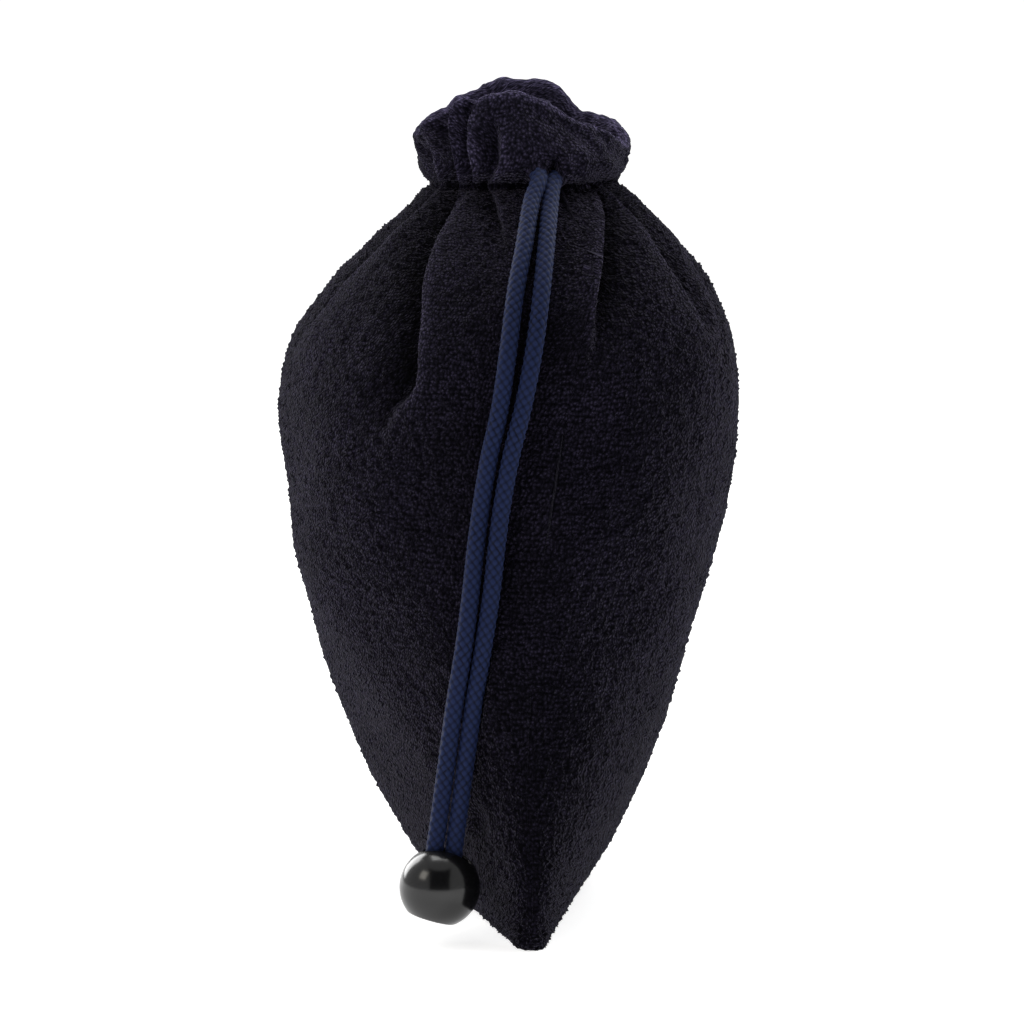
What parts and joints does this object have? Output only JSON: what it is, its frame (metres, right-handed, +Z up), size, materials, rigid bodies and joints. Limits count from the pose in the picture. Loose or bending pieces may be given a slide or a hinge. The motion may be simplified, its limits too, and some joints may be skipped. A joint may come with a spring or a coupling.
{
  "type": "kinchaku drawstring pouch",
  "caption": "Soft cloth pouch, filled out and standing on its bottom seam, drawn shut at the neck by a cord whose ends hang in a ball-shaped cord end.",
  "frame": {"origin": "on the surface the pouch stands on, under the middle of its base", "axes": "+Z up; +X towards the side seam that the cord leaves; +Y towards the back panel, across the pouch's thickness"},
  "size_m": [0.1584, 0.0954, 0.167],
  "materials": {
    "chenille": "soft cut-pile chenille, navy so dark that it is almost black, light at grazing edges",
    "cord_braid": "tight round braid, dark navy blue, slight lustre",
    "bead_gloss": "polished black"
  },
  "bodies": {
    "pouch": {"front_panel": "chenille", "back_panel": "chenille", "drawstring_cord": "cord_braid", "end_knot": "cord_braid"},
    "bead": {"cord_end_bead": "bead_gloss"}
  },
  "joints": [
    {"name": "bead_slide", "type": "slide", "parent": "pouch", "child": "bead", "axis": [-0.0364, 0.1374, 0.9899], "range_m": [0, 0.011]}
  ]
}
